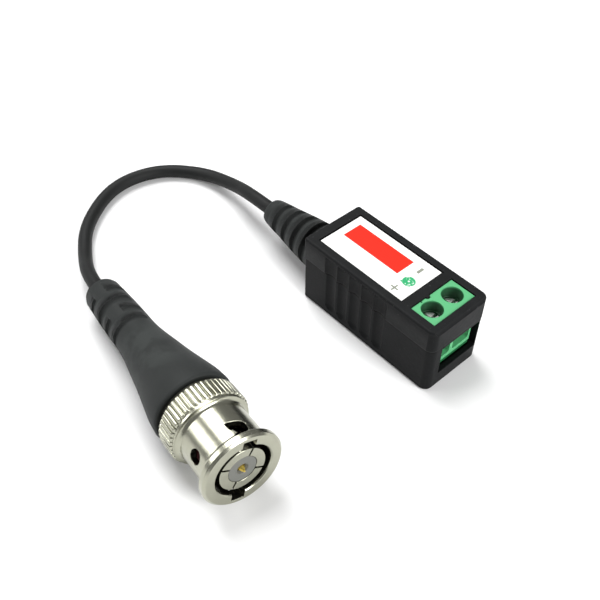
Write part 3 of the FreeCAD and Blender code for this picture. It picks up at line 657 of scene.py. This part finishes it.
def plated(name, tint, rough, turn, bore=None):
    """Plated metal with turning marks round X, tarnish, and painted shade deep in the bore, inside
    a radius.
    """
    made = Finish(name)
    point = made.place(turn)
    x, y, z = made.axes(point)
    turned = made.noise(made.stretch(point, (1.0, 0.02, 0.02)), 0.06 * MM, 3.0, 0.6)
    cloud = made.noise(point, 1.8 * MM, 4.0, 0.6)
    spots = made.ramp(made.noise(point, 0.35 * MM, 3.0, 0.7), 0.66, 0.78)
    worn = (cloud * 0.35 + spots * 0.2).clamped()
    shade = made.mix(worn, tint, tuple(0.62 * c for c in tint))
    if bore is not None:
        across = (y * y + z * z) ** 0.5
        # painted shade: dark deep in the bore, behind the front and inside the radius
        inside = made.ramp(0.2 * MM - x, 0.3 * MM, 1.2 * MM)
        inside = inside * made.ramp(bore * MM - across, 0, 0.2 * MM)
        shade = made.mix(inside * 0.85, shade, (0.02, 0.015, 0.012))
    made.surface(
        Base_Color=shade,
        Metallic=1.0,
        Roughness=rough + 0.10 * cloud + 0.14 * spots + 0.05 * turned,
        Normal=made.bump(turned, 0.0016 * MM, made.bump(cloud, 0.02 * MM)),
    )
    return made.material


def plain(name, tint, rough, metallic=0.0, grains=0.3):
    """A hidden or small piece: one tint with fine variation and grain."""
    made = Finish(name)
    point = made.place()
    patches = made.noise(point, grains * MM, 3.0)
    made.surface(
        Base_Color=made.mix(patches * 0.6, tint, tuple(0.72 * c for c in tint)),
        Metallic=metallic,
        Roughness=rough + 0.12 * patches,
        Normal=made.bump(patches, 0.004 * MM),
    )
    return made.material


# Operators


class BALUN_OT_housing(bpy.types.Operator):
    """Finish the housing's two shells, the label and the stamp on it"""

    bl_idname = "balun.housing"
    bl_label = "Housing and label"

    def execute(self, context):
        plastic = housing_plastic()
        width = settings("housing").edge
        dressed("housing_base", plastic, "balun", width, SEAM_Z)
        dressed("housing_cover", plastic, "balun", width, SEAM_Z)
        dressed("label", label_print(), "balun", 0.03)
        dressed("inspection_dot", stamp_ink(), "balun", 0.02)
        return {"FINISHED"}


class BALUN_OT_terminals(bpy.types.Operator):
    """Finish the terminal block with its screws, cages and pins"""

    bl_idname = "balun.terminals"
    bl_label = "Terminal block"

    def execute(self, context):
        width = settings("terminals").edge
        dressed("terminal_block", block_plastic(), "balun", width)
        steel = plain("screw_plating", (0.95, 0.95, 0.93), 0.36, 1.0)
        tin = plain("cage_plating", (0.58, 0.56, 0.50), 0.3, 1.0)
        for pole in ("plus", "minus"):
            dressed("terminal_screw_" + pole, steel, pole + "_screw", 0.05)
            dressed("clamp_cage_" + pole, tin, pole + "_cage", 0.06)
            dressed("terminal_pin_" + pole, tin, "balun", 0.05)
        return {"FINISHED"}


class BALUN_OT_board(bpy.types.Operator):
    """Finish the circuit board, the transformer and the cable's wires"""

    bl_idname = "balun.board"
    bl_label = "Circuit board"

    def execute(self, context):
        painted("circuit_board", plain("solder_mask", (0.02, 0.14, 0.05), 0.3, 0.0, 0.6))
        painted("transformer_core", plain("ferrite", (0.05, 0.05, 0.055), 0.6, 0.0, 0.15))
        copper = plain("enamelled_wire", (0.45, 0.14, 0.03), 0.25, 0.6)
        painted("primary_winding", copper)
        painted("secondary_winding", copper)
        strand = plain("tinned_strand", (0.62, 0.52, 0.40), 0.35, 1.0, 0.15)
        painted("signal_wire", strand)
        painted("shield_wire", strand)
        return {"FINISHED"}


class BALUN_OT_boots(bpy.types.Operator):
    """Model the two moulded boots with their grooves and bridges"""

    bl_idname = "balun.boots"
    bl_label = "Moulded boots"

    web_half_width = 10
    bridge_half_width = 18
    bridge_turns = (114, 24)

    def execute(self, context):
        self.housing_boot()
        self.plug_boot()
        return {"FINISHED"}

    def finish(self, node, bm, matrix, material):
        """Put a boot in its place, give its grooves soft edges and let it stand for its solid."""
        bmesh.ops.transform(bm, matrix=matrix, verts=bm.verts, space=Matrix.Identity(4))
        bmesh.ops.recalc_face_normals(bm, faces=bm.faces)
        piece = new_piece(node + "_finished", bm, material, "balun", 60.0)
        round_edges(piece, settings("rubber").edge, 3, 38.0)
        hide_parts(node)

    def housing_boot(self):
        """Short boot whose round ribs are joined by low webs at both sides."""
        outline = [
            (0.15, 4.9), (2.7, 4.75), (5.8, 4.37), (8.9, 3.92), (12.0, 3.42), (14.4, 3.1),
            (16.3, 2.8)
        ]
        pitch, web_depth, groove_depth = 3.1, 0.45, 1.35
        grooves = [(0.4 + pitch * k, 2.0 + pitch * k) for k in range(5)]
        profile = [(2.65, 1.45), (2.65, 4.3), (1.45, 4.3), (1.45, 3.4), (0, 3.4), (0, 4.75)]
        profile += [(-d, smooth_radius(outline, d)) for d in boot_stations(outline, grooves, 0.8)]
        profile += [(-16.95, 2.55), (-17.28, 2.2), (-17.35, 1.45)]
        bm = spun(profile, 72)
        for near, far in grooves:
            rib = smooth_radius(outline, (near + far) / 2)
            floor = sink(bm, faces_between(bm, -near, -far, 1.6), rib - web_depth)
            deep = [face for face in floor if self.clear_of(face, 90, self.web_half_width)]
            sink(bm, deep, rib - groove_depth)
        skin = soft_black("housing_boot_pvc", BOOT, (4.72, 0.13, -0.3))
        self.finish("housing_boot", bm, BOOT, skin)

    @staticmethod
    def clear_of(face, turn, half_width):
        """Whether a face lies more than some degrees from an angle and from its opposite."""
        angle = angle_of(face.calc_center_median())
        return min(away(angle, turn), away(angle, turn + 180)) > half_width

    def plug_boot(self):
        """Long boot: a smooth flare, then a tail with crossing slots that lets it bend."""
        outline = [
            (0.55, 7.25), (2.7, 7.05), (4.5, 6.72), (6.5, 6.3), (10.0, 5.58), (14.0, 4.9),
            (17.5, 4.3), (20.5, 4.0), (24.0, 3.92), (28.0, 3.8), (34.4, 3.45)
        ]
        front, pitch, slot_floor = -14.38, 3.3, 2.3
        slots = [(21.27 + pitch * k, 22.53 + pitch * k) for k in range(4)]
        profile = [(front - 2.67, 2.95), (front - 2.67, 5.25), (front, 5.25), (front, 6.85)]
        profile += [(front - 0.15, 7.1)]
        profile += [
            (front - d, smooth_radius(outline, d)) for d in boot_stations(outline, slots, 1.0)
        ]
        profile += [(front - 35.2, 3.15), (front - 35.75, 2.75), (front - 35.95, 2.3)]
        profile += [(front - 35.95, 1.45), (front - 8.17, 1.45), (front - 8.17, 2.95)]
        bm = spun(profile, 80, 1.5)
        for index, (near, far) in enumerate(slots):
            bridge = self.bridge_turns[index % 2]
            band = faces_between(bm, front - near, front - far, 3.0)
            gaps = [face for face in band if self.clear_of(face, bridge, self.bridge_half_width)]
            sink(bm, gaps, slot_floor)
        skin = soft_black("plug_boot_pvc", PLUG, (3.4, 0.0, -34.5))
        self.finish("plug_boot", bm, PLUG, skin)


class BALUN_OT_plug(bpy.types.Operator):
    """Finish the plug's sleeve, contact, insulator, pin and hidden rings"""

    bl_idname = "balun.plug"
    bl_label = "Bayonet plug"

    def execute(self, context):
        metal = settings("metal")
        tint, rough, bore = tuple(metal.nickel), 0.17, 5.95
        nickel = plated("nickel_plating", tint, rough, PLUG)
        self.sleeve(plated("sleeve_plating", tint, rough, PLUG, bore))
        contact = plated("contact_plating", tint, rough, PLUG, bore)
        dressed("plug_body", contact, "balun", 0.06)
        painted("thrust_washer", nickel)
        painted("crimp_sleeve", nickel)
        spring = plain("spring_steel", (0.5, 0.5, 0.5), 0.3, 1.0)
        wave = dressed("spring_washer", spring, "balun")
        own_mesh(wave)
        painted("retaining_ring", spring)
        insulator = plain("insulator_plastic", (0.13, 0.133, 0.118), 0.32)
        dressed("plug_insulator", insulator, "balun", 0.05)
        gold = plain("gold_plating", tuple(metal.gold), 0.22, 1.0)
        dressed("centre_pin", gold, "balun", 0.02)
        painted("front_gasket", plain("gasket_rubber", (0.06, 0.004, 0.006), 0.45))
        return {"FINISHED"}

    def sleeve(self, nickel):
        """Coupling sleeve with its knurled grip, lug windows and detent holes."""
        metal = settings("metal")
        profile = [(0.37, 6.7), (-0.03, 7.1), (-0.93, 7.1)]
        hollow = [math.radians(90 * step / 7) for step in range(7)]
        profile += [(-2.03 + 1.1 * math.sin(a), 7.1 - 1.1 * math.cos(a)) for a in hollow[::-1]]
        profile += [(-8.23 - 0.8 * math.sin(a), 6.85 - 0.85 * math.cos(a)) for a in hollow]
        profile += [(-9.03, 6.85), (-9.53, 6.85), (-9.73, 7.25), (-13.13, 7.25), (-13.23, 6.85)]
        profile += [(-14.03, 6.6), (-14.03, 6.0), (-9.6, 6.0), (-9.6, 4.23), (-8.43, 4.23)]
        profile += [(-8.43, 4.93), (0.17, 4.93), (0.37, 5.13)]
        per_tooth = 6
        drops = {0: 1.0, 1: 0.12, per_tooth - 1: 0.12}
        bm = spun(profile, per_tooth * metal.teeth)
        for vert in bm.verts:
            across = math.hypot(vert.co.y, vert.co.z)
            if across > 7.2 * MM and vert.co.x < -9.6 * MM:
                tooth = angle_of(vert.co) * metal.teeth / 360
                place = round(per_tooth * tooth) % per_tooth
                drop = metal.groove * MM * drops.get(place, 0.0)
                vert.co.y *= 1 - drop / across
                vert.co.z *= 1 - drop / across
        notch = [(1.4, -1.2), (-2.2, -1.2), (-2.2, 1.2), (1.4, 1.2)]
        window = [
            (-1.7, -0.9), (-1.75, 0.3), (-2.3, 0.8), (-2.9, 1.0), (-3.1, 1.35), (-3.6, 1.5),
            (-4.6, 1.6), (-4.65, 1.0), (-4.45, 0.0), (-4.15, -1.2), (-3.4, -1.55), (-2.4, -1.35)
        ]
        points = [step * math.tau / 28 for step in range(28)]
        hole = [(1.25 * math.cos(t) - 4.43, 1.25 * math.sin(t)) for t in points]
        cutters = []
        for half in (0, 180):
            cutters.append(prism(notch, 4.0, 6.05, LUG_TURN + half))
            cutters.append(prism(window, 4.6, 6.8, LUG_TURN + half))
            cutters.append(prism(hole, 4.6, 7.2, HOLE_TURN + half))
        bm = cut_out(bm, cutters)
        bmesh.ops.transform(bm, matrix=PLUG, verts=bm.verts, space=Matrix.Identity(4))
        bmesh.ops.recalc_face_normals(bm, faces=bm.faces)
        piece = new_piece("coupling_sleeve_finished", bm, nickel, "coupling", 30.0)
        round_edges(piece, metal.edge, 2, 34.0)
        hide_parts("coupling_sleeve")


class BALUN_OT_cable(bpy.types.Operator):
    """Lay the coaxial cable from boot to boot"""

    bl_idname = "balun.cable"
    bl_label = "Cable"

    def execute(self, context):
        jacket = soft_black("cable_pvc", share=0.3, gloss=0.22)
        diameter = settings("rubber").cable
        start = BOOT @ Vector((-17.35 * MM, 0, 0))
        tip = PLUG @ Vector((-50.33 * MM, 0, 0))
        before = PLUG @ Vector((-55.33 * MM, 0, 0))
        middle = [
            (-39.2, 0.0, 6.8),
            (-48.0, 1.8, 3.6),
            (-58.3, 0.7, 1.5),
            (-66.1, -6.7, 1.5),
            (-67.4, -17.5, 1.5),
            (-60.2, -28.5, 1.5),
            (-51.6, -34.0, 1.7),
        ]
        route = [start] + [Vector(point) * MM for point in middle] + [before, tip]
        line = bpy.data.curves.new("cable_jacket", "CURVE")
        line.dimensions = "3D"
        spline = line.splines.new("NURBS")
        spline.points.add(len(route) - 1)
        for control, point in zip(spline.points, route):
            control.co = (*point, 1.0)
        spline.order_u = 3
        spline.use_endpoint_u = True
        spline.resolution_u = 24
        line.resolution_u = 24
        line.bevel_depth = diameter / 2
        line.bevel_resolution = 8
        line.use_fill_caps = True
        line.materials.append(jacket)
        piece = bpy.data.objects.new("cable_jacket", line)
        bpy.context.scene.collection.objects.link(piece)
        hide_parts("cable")
        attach(piece, "balun")
        painted("cable_housing_end", jacket)
        painted("cable_plug_end", jacket)
        return {"FINISHED"}


class BALUN_OT_stage(bpy.types.Operator):
    """Set the floor, the soft lights, the world and the camera"""

    bl_idname = "balun.stage"
    bl_label = "Stage"

    def execute(self, context):
        self.floor()
        middle = (-0.01, -0.02, 0.0)
        self.light("key", (-0.38, 0.05, 0.64), middle, 0.40, 0.50, 5.4)
        self.light("left", (-0.45, -0.45, 0.35), middle, 0.30, 0.30, 1.4)
        self.light("right", (0.55, 0.05, 0.30), (0, -0.02, 0.01), 0.30, 0.40, 4.2)
        self.world()
        self.camera(context)
        return {"FINISHED"}

    def floor(self):
        """Lay a wide pale floor just under the part."""
        made = Finish("floor_paint")
        shade = tuple(settings("stage").floor)
        made.surface(Base_Color=shade, Roughness=0.75, Specular_IOR_Level=0.2)
        bm = bmesh.new()
        bmesh.ops.create_circle(bm, cap_ends=True, segments=64, radius=2.5)
        mesh = bpy.data.meshes.new("floor")
        bm.to_mesh(mesh)
        bm.free()
        mesh.materials.append(made.material)
        floor = bpy.data.objects.new("floor", mesh)
        floor.location.z = -0.00002
        bpy.context.scene.collection.objects.link(floor)

    def light(self, name, place, aim, width, height, power):
        """Hang a rectangular lamp that looks at a point, with sizes in metres."""
        lamp = bpy.data.lights.new(name, "AREA")
        lamp.shape = "RECTANGLE"
        lamp.size = width
        lamp.size_y = height
        lamp.energy = power
        item = bpy.data.objects.new(name, lamp)
        item.location = place
        item.rotation_euler = (Vector(aim) - Vector(place)).to_track_quat("-Z", "Y").to_euler()
        bpy.context.scene.collection.objects.link(item)

    def world(self):
        """Fill the surroundings with an even white."""
        world = bpy.data.worlds.new("studio")
        world.use_nodes = True
        back = world.node_tree.nodes["Background"]
        back.inputs["Color"].default_value = (1.0, 1.0, 1.0, 1.0)
        back.inputs["Strength"].default_value = 0.28
        bpy.context.scene.world = world
        bpy.context.scene.view_settings.view_transform = "Standard"

    def camera(self, context):
        """Put the camera where the photograph was taken from."""
        lens = bpy.data.cameras.new("camera")
        lens.sensor_width = 36.0
        lens.lens = settings("stage").lens
        lens.clip_start = 0.005
        view = bpy.data.objects.new("camera", lens)
        azimuth, rise, roll = (math.radians(angle) for angle in (47.723, 46.53, 0.63))
        target = Vector((-10.497, -12.725, 7.0)) * MM
        distance = 147.996 * MM
        back = Vector((
            math.sin(azimuth) * math.cos(rise), -math.cos(azimuth) * math.cos(rise), math.sin(rise)
        ))
        right = Vector((math.cos(azimuth), math.sin(azimuth), 0))
        up = back.cross(right)
        across = right * math.cos(roll) + up * math.sin(roll)
        above = up * math.cos(roll) - right * math.sin(roll)
        turn = Matrix((across, above, back)).transposed()
        view.matrix_world = Matrix.Translation(target + back * distance) @ turn.to_4x4()
        context.scene.collection.objects.link(view)
        context.scene.camera = view


OPERATORS = (
    BALUN_OT_housing,
    BALUN_OT_terminals,
    BALUN_OT_board,
    BALUN_OT_boots,
    BALUN_OT_plug,
    BALUN_OT_cable,
    BALUN_OT_stage,
)


class BALUN_PT_panel(bpy.types.Panel):
    """Lists the balun's operators and sizes"""

    bl_idname = "BALUN_PT_panel"
    bl_label = "Video balun"
    bl_space_type = "VIEW_3D"
    bl_region_type = "UI"
    bl_category = "Balun"

    def draw(self, context):
        column = self.layout.column(align=True)
        for operator in OPERATORS:
            column.operator(operator.bl_idname)
        for name in GROUPS:
            group = getattr(context.scene, "balun_" + name)
            box = self.layout.box()
            box.label(text=name.capitalize())
            for key in group.bl_rna.properties.keys():
                if key not in ("rna_type", "name"):
                    box.prop(group, key)


def register():
    for item in (*GROUPS.values(), *OPERATORS, BALUN_PT_panel):
        bpy.utils.register_class(item)
    for name, group in GROUPS.items():
        setattr(bpy.types.Scene, "balun_" + name, PointerProperty(type=group))


def unregister():
    for name in GROUPS:
        delattr(bpy.types.Scene, "balun_" + name)
    for item in reversed((*GROUPS.values(), *OPERATORS, BALUN_PT_panel)):
        bpy.utils.unregister_class(item)


def main():
    register()
    bpy.ops.balun.housing()
    bpy.ops.balun.terminals()
    bpy.ops.balun.board()
    bpy.ops.balun.boots()
    bpy.ops.balun.plug()
    bpy.ops.balun.cable()
    bpy.ops.balun.stage()


if __name__ == "__main__":
    main()
